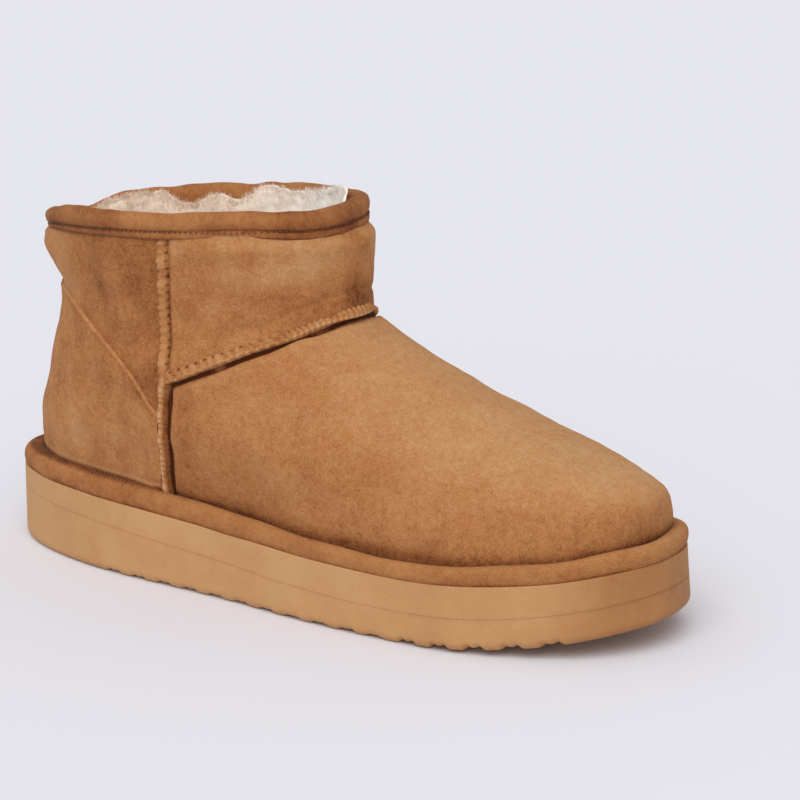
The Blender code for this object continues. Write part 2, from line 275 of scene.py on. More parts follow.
def add(tree, kind, settings=None, **sockets):
    """One node, with its settings and its sockets linked or set by name."""
    made = tree.nodes.new("ShaderNode" + kind)
    for key, value in (settings or {}).items():
        setattr(made, key, value)
    for key, value in sockets.items():
        socket = made.inputs[int(key[1:])] if key[0] == "_" else made.inputs[key.replace("_", " ")]
        if isinstance(value, bpy.types.NodeSocket):
            tree.links.new(value, socket)
        else:
            socket.default_value = value
    return made


def grain(tree, place, size, detail=3.0, low=0.35, high=0.65, rough=0.55):
    """A cloudy pattern with features of a size in metres, spread to 0..1."""
    noise = add(tree, "TexNoise", Vector=place, Scale=1 / size, Detail=detail, Roughness=rough)
    return add(tree, "MapRange", Value=noise.outputs["Fac"], From_Min=low, From_Max=high).outputs[0]


def shades(tree, value, colours):
    """A colour from an even scale of shades, darkest first."""
    made = add(tree, "ValToRGB", Fac=value)
    ramp = made.color_ramp
    for step in range(1, len(colours) - 1):
        ramp.elements.new(step / (len(colours) - 1))
    for stop, colour in zip(ramp.elements, colours):
        stop.color = (*colour, 1.0)
    return made.outputs["Color"]


def sums(tree, kind, one, other):
    return add(tree, "Math", {"operation": kind}, _0=one, _1=other).outputs[0]


def relief(tree, shader, height, strength, distance):
    bump = add(tree, "Bump", Height=height, Strength=strength, Distance=distance)
    tree.links.new(bump.outputs[0], shader.inputs["Normal"])


def layered(tree, shader, start, colours, layers, strength, distance):
    """Colour from a start, the piece's tone (its painted light and shade) and the layers' swings; relief
    from the same layers.
    """
    value = sums(tree, "ADD", add(tree, "Attribute", {"attribute_name": "tone"}).outputs["Fac"], start)
    height = 0.0
    for layer, in_colour, in_relief in layers:
        swing = sums(tree, "SUBTRACT", layer, 0.5)
        value = sums(tree, "ADD", value, sums(tree, "MULTIPLY", swing, in_colour))
        height = sums(tree, "ADD", height, sums(tree, "MULTIPLY", layer, in_relief))
    tree.links.new(shades(tree, value, colours), shader.inputs["Base Color"])
    relief(tree, shader, height, strength, distance)


def matt_finish(name, start, colours, grains, strength, distance, rough=None, shift=0.0, **settings):
    """A matt material of weighted grains; one of them can vary its roughness between two values."""
    material, tree, shader = blank(name, **settings)
    place = add(tree, "TexCoord").outputs["Object"]
    place = add(tree, "VectorMath", {"operation": "ADD"}, _0=place, _1=(shift, 0.0, 0.0)).outputs[0]
    layers = [(grain(tree, place, *sizes), *weights) for *weights, sizes in grains]
    layered(tree, shader, start, colours, layers, strength, distance)
    if rough:
        varied = add(tree, "MapRange", Value=layers[rough[0]][0], To_Min=rough[1], To_Max=rough[2])
        tree.links.new(varied.outputs[0], shader.inputs["Roughness"])
    return material


foam = matt_finish(
    "moulded_foam",
    0.68,
    FOAM_SHADES,
    FOAM_GRAINS,
    0.22,
    0.0001,
    rough=(0, 0.58, 0.70),
    Specular_IOR_Level=0.22,
)
around = even_turns(SOLE_AROUND)


def outward(points):
    """Level directions out from the shoe's middle line."""
    return unit(np.stack((points[..., 0] * 0.3, points[..., 1], 0 * points[..., 2]), -1))


def layer_side(low_of, high_of, rows, low_edge, high_edge):
    """A grid of points up the side of one foam layer, rounded in at its lower and upper edges."""
    low = sole_point(around, 0.0, low_of)[:, 2]
    high = sole_point(around, 0.0, high_of)[:, 2]
    rings = []
    for share in rows:
        def height_of(x, share=share):
            return low_of(x) + (high_of(x) - low_of(x)) * share
        flat = sole_point(around, 0.0, height_of)[:, 2]
        inset = 0.0
        for near, edge in ((flat - low, low_edge), (high - flat, high_edge)):
            inset = inset + edge * (1 - np.sqrt(1 - (1 - np.clip(near / edge, 0, 1)) ** 2))
        ring = sole_point(around, inset, height_of)
        rings.append(ring + outward(ring) * (ripple(ring, 0.030, 11) * 0.00012)[:, None])
    return np.array(rings)


TREAD_EDGE = 0.0030
MOULDED_EDGE = 0.00016


def foam_tone(points, line):
    """Painted shade round the toe, where the foam turns from the light, and faintly darker along the moulded
    line at one side of a layer.
    """
    x = stations(points)
    from_line = np.linalg.norm(points - line, axis=-1)
    toe = 0.14 * ease(0.150, 0.215, x) + 0.32 * ease(0.238, 0.270, x)
    return -toe - 0.09 * bump_at(from_line, 0, 0.0006)


GROOVE_FADE = 0.006  # how far up the side a groove's end can be seen
TREAD_ROWS = np.concatenate((np.linspace(0, 0.24, 12), np.linspace(0.30, 0.94, 9), np.linspace(0.97, 1, 5)))
side = layer_side(tread_height, parting_height, TREAD_ROWS, TREAD_EDGE, MOULDED_EDGE)
fade = np.clip(1 - (side[..., 2] - side[0, :, 2]) / GROOVE_FADE, 0, 1)
side[..., 2] += groove_at(stations(side), side[..., 1]) * fade
tread, _ = spanned(side[0], TREAD_ACROSS)
middle = tread[1:-1]
middle[..., 2] = tread_height(stations(middle))
middle[..., 2] += groove_at(stations(middle), middle[..., 1])
tone = np.concatenate((foam_tone(side, side[-1]).ravel(), foam_tone(tread, tread + 1.0).ravel()))
tread_faces = quads(*tread.shape[:2])[:, ::-1] + len(side) * SOLE_AROUND
piece(
    "outsole_foam",
    np.concatenate((side.reshape(-1, 3), tread.reshape(-1, 3))),
    np.concatenate((quads(*side.shape[:2], ring=True), tread_faces)),
    foam,
    "outsole",
    tone,
)


# ------------------------------
# Midsole. The upper layer of the same foam. It meets the outsole at a fine moulded line, which
# drops from high at the heel to half way at the ball.

MIDSOLE_EDGE = 0.0003
LID_INSET = 0.012
MIDSOLE_ROWS = np.concatenate((np.linspace(0, 0.04, 5), np.linspace(0.1, 0.9, 7), np.linspace(0.95, 1, 4)))
side = layer_side(parting_height, sole_top, MIDSOLE_ROWS, MOULDED_EDGE, MIDSOLE_EDGE)
lid = sole_point(around, LID_INSET, sole_top)[None]
tone = np.concatenate((foam_tone(side, side[0]), np.zeros((1, SOLE_AROUND))))
sheet("midsole_foam", np.concatenate((side, lid)), foam, "midsole", tone, ring=True)


# ------------------------------
# Upper's shape. A last of five sections carries every suede panel and the fleece inside it: a back
# seam hollowed over the Achilles tendon, a steep toe wall, a vamp and an upright shaft.

TOPLINE_HEIGHT = 0.1290
WALL = 0.0070
HEEL_INSET = 0.0056
ACHILLES_HEIGHT = 0.0945
ACHILLES_DEPTH = 0.0109
ACHILLES_BELOW = 0.0420
ACHILLES_ABOVE = 0.0130
COLLAR_LEAN = 0.0036
TOE_WALL = 0.2645
TOE_ROUND = 0.0270
THROAT_HEIGHT = 0.0935
THROAT_PLACE = 0.1467
VAMP_RUN = 2.30
VAMP_BOW = 11.5
SHAFT_FRONT = 0.1462
SHAFT_LEAN = 0.0045
SHAFT_LEAN_START = 0.112
THROAT_ROUND = 0.0040
GIRTHS = np.array(
    (  # height, half width, squareness, pinch behind the widest station
        (0.028, 0.0450, 2.25, 0.00),
        (0.050, 0.0455, 2.10, 0.00),
        (0.072, 0.0410, 2.00, 0.00),
        (0.092, 0.0380, 2.00, 0.26),
        (0.128, 0.0400, 2.30, 0.28),
    )
)
ANKLE_HEIGHT = 0.090
ANKLE_PLACE = 0.0817
FIT_FADE = 0.038
TOPLINE_SLOPE = 0.085
TOPLINE_CROWN = 0.0015
COLLAR_DIP = (  # turn in degrees, how far the soft collar is pressed down
    (0, 0.0), (120, 0.0), (136, -0.0006), (145, 0.0), (152, 0.0026), (160, 0.0041),
    (170, 0.0031), (180, 0.0022), (200, 0.0015), (212, 0.0008), (222, 0.0), (285, 0.0),
    (305, 0.0006), (330, 0.0004), (350, 0.0),
)
DIP_BLUR = 4
TOPLINE_START = 0.090
TOPLINE_MIDDLE = 0.0767
RIM_WALL = 0.0040
SHEAR_START, SHEAR_END = 0.106, 0.119
NAP_SHEEN = (1.0, 0.72, 0.48, 1.0)
SUEDE_SHADES = (  # from the painted shade at the bottom of a crease to painted light on nap that faces the lamps
    (0.095, 0.025, 0.009), (0.290, 0.103, 0.034), (0.440, 0.188, 0.068), (0.530, 0.280, 0.125),
    (0.610, 0.365, 0.188),
)
SUEDE_GRAINS = (
    (0.10, 0, (0.034, 3.0, 0.34, 0.66)),
    (0.11, 0, (0.0075, 4.0, 0.30, 0.70)),
    (0.20, 0.8, (0.0021, 4.0, 0.28, 0.72, 0.62)),
    (0.36, 1, (0.00065, 3.0, 0.25, 0.75, 0.7)),
)


def section(column, height):
    """One column of the last's sections at a height, on a curve that never overshoots."""
    places, values = GIRTHS[:, 0], GIRTHS[:, column]
    height = np.clip(height, places[0], places[-1])
    spans = np.diff(places)
    slopes = np.diff(values) / spans
    same_way = slopes[:-1] * slopes[1:] > 0
    harmonic = 2 * slopes[:-1] * slopes[1:] / np.where(same_way, slopes[:-1] + slopes[1:], 1.0)
    tangents = np.concatenate((slopes[:1], np.where(same_way, harmonic, 0.0), slopes[-1:]))
    row = np.minimum(np.searchsorted(places, height, side="right") - 1, len(spans) - 1)
    t = (height - places[row]) / spans[row]
    bend = spans[row] * (tangents[row] * (t - 1) ** 2 * t + tangents[row + 1] * (t - 1) * t**2)
    return values[row] + (values[row + 1] - values[row]) * t * t * (3 - 2 * t) + bend


def widest_place(height):
    return BALL_PLACE - (BALL_PLACE - ANKLE_PLACE) * ease(HEEL_STACK, ANKLE_HEIGHT, height)


def soft_min(one, other, reach):
    near = np.maximum(reach - np.abs(one - other), 0.0)
    return np.minimum(one, other) - near * near / (4 * reach)


def back_profile(height):
    reach = np.where(height > ACHILLES_HEIGHT, ACHILLES_ABOVE, ACHILLES_BELOW)
    lean = COLLAR_LEAN * ease(ACHILLES_HEIGHT, ACHILLES_HEIGHT + 2 * ACHILLES_ABOVE, height)
    return HEEL_INSET + ACHILLES_DEPTH * bump_at(height, ACHILLES_HEIGHT, reach) + lean


def front_profile(height):
    drop = THROAT_HEIGHT - height
    vamp = THROAT_PLACE + VAMP_RUN * drop * (1 + VAMP_BOW * np.maximum(drop, 0.0) / 2)
    shaft = SHAFT_FRONT - SHAFT_LEAN * ease(SHAFT_LEAN_START, TOPLINE_HEIGHT, height)
    return -soft_min(-shaft, -soft_min(TOE_WALL, vamp, TOE_ROUND), THROAT_ROUND)


def blurred(table, place, blur, period=None):
    """A table's value at a place, evened out with its values a blur before and after it."""
    places, values = np.array(table).T
    return sum(np.interp(place + shift, places, values, period=period) for shift in (-blur, 0, blur)) / 3


def upper_surface(turn, height):
    """The upper's outer face: a plan outline for each height."""
    back, widest = back_profile(height), widest_place(height)
    half, squareness, pinch = section(1, height), section(2, height), section(3, height)
    x, y = outline(turn, back, front_profile(height), widest, half, squareness)
    behind = np.maximum((widest - x) / (widest - back), 0.0)
    y = y * (1 - pinch * behind**2)
    low = 1 - ease(HEEL_STACK, HEEL_STACK + FIT_FADE, height)
    y = y + toe_swing(x) - low * waist(x, turn)
    z = height + low * (sole_top(x) - HEEL_STACK)
    climb = np.clip((height - TOPLINE_START) / (TOPLINE_HEIGHT - TOPLINE_START), 0.0, 1.0)
    crown = TOPLINE_CROWN * np.abs(np.sin(turn)) ** 1.5
    dip = blurred(COLLAR_DIP, np.degrees(turn), DIP_BLUR, 360)
    z = z + climb * (TOPLINE_SLOPE * (x - TOPLINE_MIDDLE) + crown) - climb**2 * dip
    return np.stack((x - LENGTH / 2, y, z), -1)


def upper_normal(turn, height):
    step, lift = 0.01, 0.0004
    round_way = upper_surface(turn + step, height) - upper_surface(turn - step, height)
    upward = upper_surface(turn, height + lift) - upper_surface(turn, height - lift)
    return unit(np.cross(round_way, upward))


def upper_point(turn, height, out=0.0):
    """Points off the upper's outer face, moved out (or in, below zero) square to it."""
    turn, height, out = np.broadcast_arrays(turn, height, out)
    return upper_surface(turn, height) + upper_normal(turn, height) * out[..., None]


def turn_at(station, height, inner):
    """The turn at which the section at a height passes a station, on the inner or outer side."""
    widest, squareness = widest_place(height), section(2, height)
    reach = np.where(station > widest, front_profile(height) - widest, widest - back_profile(height))
    angle = np.arccos(bow(np.clip((station - widest) / reach, -1, 1), squareness / 2))
    return angle if inner else math.tau - angle


def suede_finish(name, shift):
    """Napped suede: brushed patches, soft mottle and a fine grain."""
    return matt_finish(
        name,
        0.5,
        SUEDE_SHADES,
        SUEDE_GRAINS,
        0.50,
        0.00035,
        rough=(1, 0.90, 1.0),
        shift=shift,
        Specular_IOR_Level=0.06,
        Sheen_Weight=0.10,
        Sheen_Roughness=0.45,
        Sheen_Tint=NAP_SHEEN,
    )


suede = suede_finish("napped_suede", 0.0)


# ------------------------------
# Suede panels. The foot panel (vamp), the front of the shaft and the rear quarter are cut from one
# hide and sewn face to face, so each rolls down into its seams and is a little slack between them.

SIDE_SEAM = 0.0915
SIDE_WANDER = (  # height, how far the side seam strays towards the toe
    (0.0335, -0.0018), (0.0380, -0.0014), (0.0440, 0.0003), (0.0500, 0.0010), (0.0730, 0.0017),
    (0.0805, 0.0006), (0.0960, 0.0000), (0.1220, 0.0006),
)
WANDER_BLUR = 0.002
SEAM_BAND = 0.0042  # the quarter ends under the sewn band behind the seam
INSTEP_AT_SIDE = 0.0735
INSTEP_CLIMB = 0.435
INSTEP_START = 0.0952
PANEL_FOOT = 0.0300
SEAM_DROP = 0.0016
SEAM_ROLL = 0.0007
FOOT_TUCK = 0.0007
FOOT_SHADE = 0.17
TUCK_HEIGHT = 0.0066
BINDING_LEG = 0.0055
HEEL_FULLNESS = 0.0013
VAMP_SIDE, SHAFT_SIDE, INSTEP_SIDE = 0.0007, 0.0003, -0.0004  # edges beside the side seam
SHAFT_LAP = 0.0014  # the shaft's lower edge lies under the instep band


def side_station(height):
    """Where the side seam runs, as a station for each height."""
    return SIDE_SEAM + blurred(SIDE_WANDER, height, WANDER_BLUR)


def seam_height(x):
    """The instep seam climbs from the side seams to the throat, by stations."""
    return INSTEP_AT_SIDE + INSTEP_CLIMB * (x - INSTEP_START)


def slack(points):
    """The hide's unevenness: broad waves, small lumps and a fine pebble."""
    broad = ripple(points, 0.055, 3) * 0.00045
    return broad + ripple(points, 0.019, 5) * 0.00020 + ripple(points, 0.0065, 7) * 0.00006


def roll(distance, reach=SEAM_ROLL, drop=SEAM_DROP):
    """How far a panel dips towards a seam at a distance."""
    return -drop * bump_at(distance, 0, reach) - 0.20 * drop * np.exp(-distance / (3 * reach))


def pucker(points, distance, size, seed):
    """Small gathers that the thread draws into the hide beside a seam."""
    return 0.00014 * ripple(points, size, seed) * np.exp(-distance / 0.0050) * ease(0.0, 0.0015, distance)


def above_welt(height):
    return np.maximum(height - HEEL_STACK - TUCK_HEIGHT, 0)


def at_front(turn):
    return np.maximum(np.cos(turn), 0) ** 2


def at_back(turn):
    return np.maximum(-np.cos(turn), 0) ** 2


def off_back(turn):
    """How far round from the back seam a turn is."""
    return np.abs(np.sin(turn / 2 - math.pi / 2)) * 2


def heel_fullness(turn, height):
    """The stiffener inside the heel pushes the suede out a little, low down at the back."""
    return HEEL_FULLNESS * at_back(turn) * bump_at(height, 0.050, 0.015)


def foot_tuck(height):
    return -FOOT_TUCK * np.exp(-above_welt(height) / 0.0022)


def foot_shade(height):
    """Painted shade in the crease where the hide turns in under itself at the welt."""
    deep = 0.14 * np.exp(-above_welt(height) / 0.0011)
    return -deep - FOOT_SHADE * np.exp(-above_welt(height) / 0.0040)


def edge_tone(distance):
    """A seam's edge: painted shade where it turns in, and a little lighter beside that."""
    return -0.45 * bump_at(distance, 0, 0.0008) + 0.06 * bump_at(distance, 0.0030, 0.0018)


def vamp_rows(count):
    """Heights that lie evenly along the slope of the vamp."""
    fine = np.linspace(PANEL_FOOT, 0.0945, 800)
    spine = np.stack((front_profile(fine), fine), -1)
    length = distances(spine)
    return np.interp(np.linspace(0, length[-1], count), length, fine)


def along_seam(side, offset, height, rows, passes=6):
    """Turns and heights whose rows follow the instep seam, from one side seam to the other."""
    for _ in range(passes):
        turn = side * turn_at(side_station(height) + offset, height, True)
        height = rows(seam_height(np.minimum(stations(upper_surface(turn, height)), SHAFT_FRONT)))
    return turn, height


def bare(turn, height):
    """Points of the upper before its relief, with their normals and stations."""
    points = upper_point(turn, height)
    return points, upper_normal(turn, height), stations(points)


def to_side_seam(side, station, height, offset):
    return np.where(np.abs(side) > 0.5, np.abs(station - side_station(height) - offset), 1.0)


def panel(name, points, normal, out, tone):
    sheet(name, points + normal * out[..., None], suede, "upper", tone)


def vamp_panel():
    side = np.linspace(-1, 1, 380)
    base = vamp_rows(160)[:, None]
    share = (base - base[0]) / (base[-1] - base[0])

    def rows(seam):
        return PANEL_FOOT + (seam - 0.0002 - PANEL_FOOT) * share

    turn, height = along_seam(side, VAMP_SIDE, base + 0 * side, rows)
    points, normal, station = bare(turn, height)
    to_side = to_side_seam(side, station, height, VAMP_SIDE)
    to_instep = np.linalg.norm(points - points[-1:], axis=-1)
    out = slack(points) + roll(to_side, 0.0012, 0.0020) + roll(to_instep, 0.0009, 0.0022) + foot_tuck(height)
    out = out + pucker(points, to_side, 0.0080, 13) + pucker(points, to_instep, 0.0090, 14)
    # Painted light and shade: darker into the side and instep seams, lighter where the hide faces up and
    # towards the crown, and darker at the toe's end where it turns from the light.
    tone = (
        foot_shade(height) + edge_tone(to_side) + edge_tone(to_instep)
        - 0.30 * bump_at(to_side, 0.0007, 0.0007) - 0.25 * bump_at(to_instep, 0.0, 0.0011)
        + 0.18 * ease(0.45, 0.95, normal[..., 2]) + 0.05 * ease(0.165, 0.225, station) - 0.03
        - 0.08 * ease(0.120, 0.092, station) - 0.04 * ease(0.250, 0.264, station)
    )
    panel("vamp_panel", points, normal, out, tone)


def shaft_panel():
    side = np.linspace(-1, 1, 280)
    share = np.linspace(0, 1, 80)[:, None]
    rim = TOPLINE_HEIGHT - BINDING_LEG

    def rows(seam):
        return seam + SHAFT_LAP + (rim - (seam + SHAFT_LAP)) * share

    turn, height = along_seam(side, SHAFT_SIDE, 0.085 + 0.04 * share + 0 * side, rows)
    points, normal, station = bare(turn, height)
    to_side = to_side_seam(side, station, height, SHAFT_SIDE)
    to_instep = np.linalg.norm(points - points[:1], axis=-1)
    out = slack(points) + roll(to_side, 0.0005, 0.0006) + roll(to_instep) + under_binding(height, turn)
    out = out - 0.0005 * bump_at(to_instep, 0.0082, 0.0012) * ease(0.6, 0.9, np.cos(turn))
    out = out + pucker(points, to_side, 0.0080, 15) + pucker(points, to_instep, 0.0100, 16)
    front = ease(0.55, 0.85, np.cos(turn))
    # Painted light and shade: darker into the seams, painted light over the front half, and painted shade
    # down the very front where the shaft turns from the light, deepest at its lower corner; lighter higher
    # up, darker towards the side seams.
    tone = (
        0.6 * edge_tone(to_side) - 0.4 * bump_at(to_instep, 0.0, 0.0010) + 0.03 * ripple(points, 0.012, 17)
        - 0.24 * bump_at(np.sin(turn), 0, 0.24) - 0.07 * ease(0.120, 0.096, station)
        + 0.05 * ease(0.100, 0.118, height) + 0.13 * front
        - 0.22 * front * ease(0.113, 0.101, height)
    )
    panel("shaft_panel", points, normal, out, tone)


def under_binding(height, turn):
    """Stitched down under the binding, the hide is drawn in and swells just below it."""
    below = TOPLINE_HEIGHT - height
    swell = 0.0003 + 0.0007 * at_front(turn) - 0.0012 * at_back(turn)
    drawn = 0.0004 + 0.0010 * at_front(turn) + 0.0024 * at_back(turn)
    return swell * bump_at(below, 0.0105, 0.0030) - drawn * ease(0.0100, 0.0065, below)


def behind_seam(side, height, gap):
    """Turns round the back, from one side seam's band to the other's."""
    return math.pi + side * (math.pi - turn_at(side_station(height) - SEAM_BAND + gap, height, True))


def quarter_panel():
    side = np.linspace(-1, 1, 260)
    height = np.linspace(PANEL_FOOT, TOPLINE_HEIGHT - BINDING_LEG, 120)[:, None] + 0 * side
    turn = behind_seam(side, height, 0.0008)
    points, normal, station = bare(turn, height)
    to_band = np.abs(station - side_station(height) + SEAM_BAND + 0.0004)
    out = slack(points) + roll(to_band, 0.0010, 0.0005) + foot_tuck(height) + under_binding(height, turn)
    out = out + pucker(points, to_band, 0.0085, 18) + heel_fullness(turn, height)
    from_back = off_back(turn)
    high = ease(0.090, 0.100, height)
    fold = bump_at(from_back, 0.46, 0.07) * high
    out = out - 0.0006 * fold + 0.0004 * bump_at(from_back, 0.28, 0.12) * high
    # Painted light and shade: painted shade in the crease at the welt and in the fold, and a painted
    # highlight down the back edge; the panel is also darker overall and towards the side seam.
    tone = (
        foot_shade(height) - 0.16 + 0.20 * ease(0.80, 0.50, from_back) - 0.06 * fold
        + 0.24 * bump_at(from_back, 0.80, 0.19) - 0.06 * ease(0.070, 0.084, station)
        + 0.03 * ripple(points, 0.014, 19)
    )
    panel("quarter_panel", points, normal, out, tone)


vamp_panel()
shaft_panel()
quarter_panel()


# ------------------------------
# Welt. A padded strip covered with a woven twill tape, glued round the foot of the upper. It is
# rounded outside, flush with the foam, and pressed down a little beside the ball of the foot.

WELT_DIP = 0.25
WELT_DIP_SPREAD = 0.055
WELT_BULGE = (  # inset from the sole's edge, rise above the midsole
    (0.0020, -0.0006), (0.0004, 0.0000), (-0.0001, 0.0014), (-0.0003, 0.0033), (0.0001, 0.0053),
    (0.0013, 0.0068), (0.0029, 0.0074),
)
WELT_INSIDE = (  # out from the upper's foot, rise above the midsole
    (0.0014, 0.0073), (0.0001, 0.0066), (-0.0010, 0.0054), (-0.0030, 0.0046),
)
TWILL_PITCH = 0.00072
TWILL_LEAN = math.radians(24)
YARN_PITCH = 0.00048
TAPE_SHADES = (  # from painted shade at the bottom of a fold to a painted highlight on a crown
    (0.085, 0.022, 0.008), (0.270, 0.090, 0.028), (0.400, 0.162, 0.055), (0.470, 0.218, 0.084),
    (0.545, 0.285, 0.123),
)


def smooth_line(marks, count):
    """An even curve through a few marks, along the first axis."""
    marks = np.asarray(marks, float)
    ends = np.concatenate((2 * marks[:1] - marks[1:2], marks, 2 * marks[-1:] - marks[-2:-1]))
    place = np.linspace(0, len(marks) - 1, count)
    start = np.minimum(place.astype(int), len(marks) - 2)
    t = (place - start).reshape(-1, *[1] * (marks.ndim - 1))
    a, b, c, d = (ends[start + step] for step in range(4))
    return 0.5 * (2 * b + (c - a) * t + (2 * a - 5 * b + 4 * c - d) * t**2 + (3 * b - a - 3 * c + d) * t**3)


def welt_share(turn):
    """The welt's height along the shoe, as a share of its full height."""
    x = sole_edge(turn)[0]
    return 1 - WELT_DIP * bump_at(x, BALL_PLACE, WELT_DIP_SPREAD) - 0.08 * ease(0.050, 0.005, x)


def foot_point(turn, out, rise):
    """Points of the upper's foot, off its outer face, at a rise above the midsole."""
    points = upper_point(turn, HEEL_STACK + rise, out)
    points[..., 2] = sole_top(stations(points)) + rise
    return points


def tape_ring(name, points, material, node, tone):
    """A padded ring of tape, with its distances along and across as its cloth map."""
    closed = np.concatenate((points, points[:, :1]), 1)
    along = distances(closed[len(closed) // 2])
    across = running(np.linalg.norm(np.diff(closed, axis=0), axis=2).mean(1))
    size = points.shape[:2]
    cloth = np.stack([np.stack((along[c], across[r]), -1) for r, c in corners(*size, ring=True)], 1)
    made = piece(name, points, quads(*size, ring=True), material, node, tone, cloth)
    return made


def tape_finish(name, lean):
    """Woven twill tape: fine diagonal cords crossed by yarns, soft with wear and fuzz."""
    material, tree, shader = blank(
        name,
        Roughness=0.88,
        Specular_IOR_Level=0.10,
        Sheen_Weight=0.08,
        Sheen_Tint=NAP_SHEEN,
    )
    cloth = add(tree, "UVMap", {"uv_map": "cloth"}).outputs[0]
    place = add(tree, "TexCoord").outputs["Object"]

    def cord(pitch, angle):
        way = (math.tau * math.sin(angle) / pitch, math.tau * math.cos(angle) / pitch, 0.0)
        phase = add(tree, "VectorMath", {"operation": "DOT_PRODUCT"}, _0=cloth, _1=way).outputs["Value"]
        wobble = add(tree, "TexNoise", Vector=place, Scale=520.0, Detail=3.0).outputs["Fac"]
        phase = sums(tree, "ADD", phase, sums(tree, "MULTIPLY", wobble, 5.0))
        wave = add(tree, "Math", {"operation": "SINE"}, _0=phase).outputs[0]
        return add(tree, "MapRange", Value=wave, From_Min=-1.0, From_Max=1.0).outputs[0]

    twill = cord(TWILL_PITCH, lean)
    yarn = cord(YARN_PITCH, lean + math.pi / 2)
    worn = grain(tree, place, 0.011, 3.0, 0.35, 0.65)
    fluff = grain(tree, place, 0.0022, 4.0, 0.28, 0.72)
    fuzz = grain(tree, place, 0.0008, 3.0, 0.25, 0.75)
    layers = (
        (worn, 0.16, 0),
        (fluff, 0.18, 0),
        (fuzz, 0.24, 0.9),
        (twill, 0.24, 1),
        (yarn, 0.05, 0.35),
    )
    layered(tree, shader, 0.5, TAPE_SHADES, layers, 0.55, 0.00018)
    return material


welt_tape = tape_finish("twill_tape", TWILL_LEAN)


def welt_strip():
    share = welt_share(around)
    outside = [sole_point(around, inset, sole_top, rise * share) for inset, rise in WELT_BULGE]
    inside = [foot_point(around, out, rise * share) for out, rise in WELT_INSIDE]
    points = smooth_line(np.array(outside + inside), 34)
    points = points + outward(points) * (ripple(points, 0.028, 21) * 0.00018)[..., None]
    across = np.linspace(0, 1, len(points))[:, None]
    points[..., 2] += ripple(points, 0.030, 23) * 0.00022 * across
    station = stations(points)
    # Painted light and shade: painted shade on the inner slope into the crease, deepest round the heel, and
    # under the outer bulge, and a painted highlight along the crown; lighter towards the toe.
    tone = (
        -0.34 * ease(0.70, 0.86, across) - 0.22 * ease(0.24, 0.12, across)
        - 0.34 * ease(0.110, 0.040, station) * ease(0.46, 0.62, across)
        + 0.08 * bump_at(across, 0.52, 0.09) + 0.03 * ripple(points, 0.020, 25)
        + 0.11 * ease(0.060, 0.160, station) - 0.07
    )
    tape_ring("welt_tape", points, welt_tape, "welt", tone)


welt_strip()


# ------------------------------
# Heel counter. A second layer of suede, skived thin and stuck round the heel. Its cut edge falls
# from the back seam to the side seams and stands up as a fine pale ridge.

COUNTER_THICKNESS = 0.0009
COUNTER_BACK = 0.0985
COUNTER_SIDE = 0.0612
COUNTER_CURVE = 3.35
COUNTER_FOOT = 0.0310
EDGE_RIDGE = 0.00012
EDGE_WIDTH = 0.00032
EDGE_GROOVE = 0.0016
FOOT_ROLL = 0.0022  # above the welt, the counter's foot rolls out, with a painted highlight along it

counter_suede = suede_finish("counter_suede", 0.7)


def heel_counter():
    side = np.linspace(-1, 1, 240)
    top = COUNTER_BACK - (COUNTER_BACK - COUNTER_SIDE) * np.abs(side) ** COUNTER_CURVE
    share = np.linspace(0, 1, 90)[:, None] ** 0.8
    height = COUNTER_FOOT + (top - COUNTER_FOOT) * share
    turn = behind_seam(side, height, 0.0010)
    points, normal, station = bare(turn, height)
    away = np.stack([np.linalg.norm(points[-1] - point, axis=-1).min(1) for point in points[:, :, None]])
    rounded = 1 - ease(0, 0.0007, 0.0007 - away)
    sewn_in = ease(0.0004, 0.0049, side_station(height) - SEAM_BAND + 0.0008 - station)
    out = (
        (GAP + COUNTER_THICKNESS * (0.20 + 0.80 * rounded)) * (0.25 + 0.75 * sewn_in)
        + EDGE_RIDGE * bump_at(away, EDGE_WIDTH, EDGE_WIDTH)
        - EDGE_RIDGE * bump_at(away, EDGE_GROOVE, EDGE_WIDTH)
    )
    out = out + slack(points) + foot_tuck(height) + heel_fullness(turn, height)
    out = out + 0.00025 * bump_at(above_welt(height), FOOT_ROLL, 0.0007)
    from_back = off_back(turn)
    # Painted light and shade: painted shade at the welt and in the groove beside the pale cut edge, and a
    # painted highlight along the rolled-out foot; lighter low down, darker towards the side seams.
    tone = (
        0.24 * bump_at(away, 0.0002, 0.00032) + foot_shade(height)
        + 0.09 * ease(0.070, 0.050, height) - 0.07 * bump_at(away, EDGE_GROOVE, 0.0009)
        + 0.30 * bump_at(above_welt(height), FOOT_ROLL, 0.0006) * ease(0.1, 0.5, from_back)
        + 0.03 * ripple(points, 0.013, 27) - 0.05 * ease(0.9, 1.25, from_back)
        + 0.05 * bump_at(from_back, 0.62, 0.20) - 0.07
    )
    points = points + normal * out[..., None]
    skirt = upper_point(turn[-1:], height[-1:] + 0.0002, -0.0012)
    # The skirt under the cut edge is painted in shade.
    points, tone = np.concatenate((points, skirt)), np.concatenate((tone, np.full_like(tone[:1], -0.3)))
    sheet("counter_overlay", points, counter_suede, "heel_counter", tone)


heel_counter()


# ------------------------------
# Seams. The panels' edges are turned up together and whipped over with thread. Above, each side
# seam is a soft sewn band; below, a thick whipped bead beside a deep groove, down to the welt. The
# instep seam is a narrow quilted band over a crease, from one side seam over the throat.

